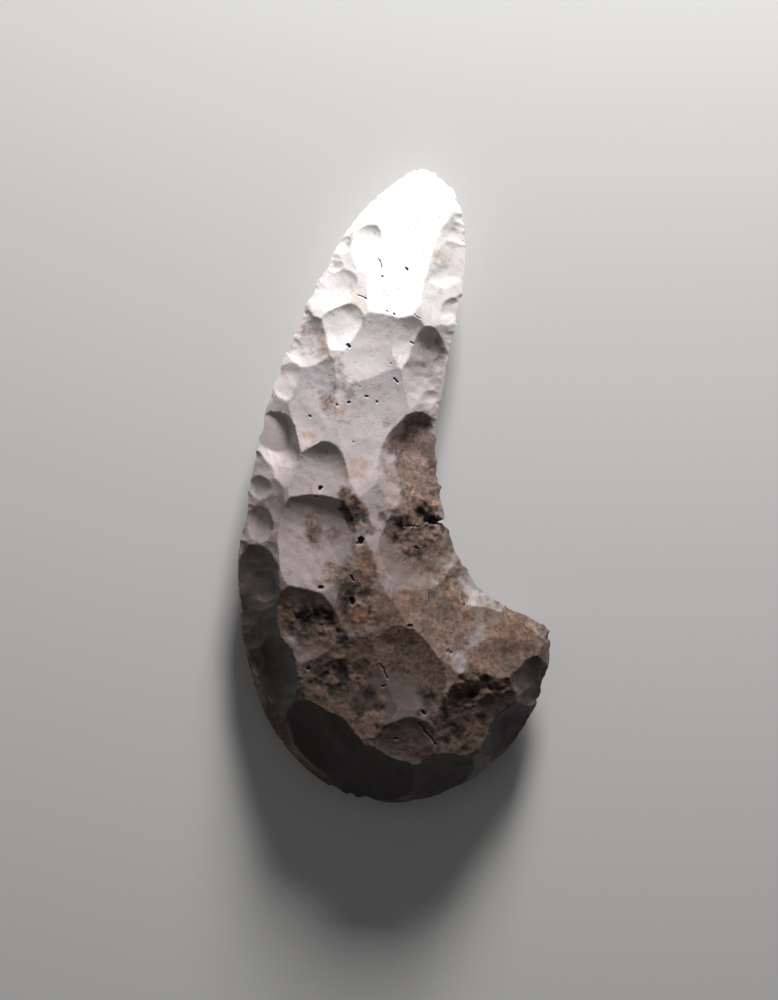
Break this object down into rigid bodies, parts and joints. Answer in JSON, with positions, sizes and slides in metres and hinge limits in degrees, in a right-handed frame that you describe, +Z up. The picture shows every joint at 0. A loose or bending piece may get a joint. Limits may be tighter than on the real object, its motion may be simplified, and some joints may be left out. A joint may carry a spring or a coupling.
{
  "type": "stone hand axe",
  "caption": "Knapped flint hand axe, curved like a shark fin: narrow rounded tip, hollow inner side with a horn, convex outer edge and a thick rounded butt, flaked over both faces.",
  "frame": {"origin": "centre of the bounding box in plan, on the flat the stone lies on", "axes": "+Y along the length, from the butt to the tip; +X across, towards the hollow side and the horn; +Z up, out of the face the picture shows"},
  "size_m": [0.099, 0.2008, 0.0302],
  "materials": {
    "flint": "matte"
  },
  "bodies": {
    "root": {"hand_axe": "flint"}
  },
  "joints": []
}
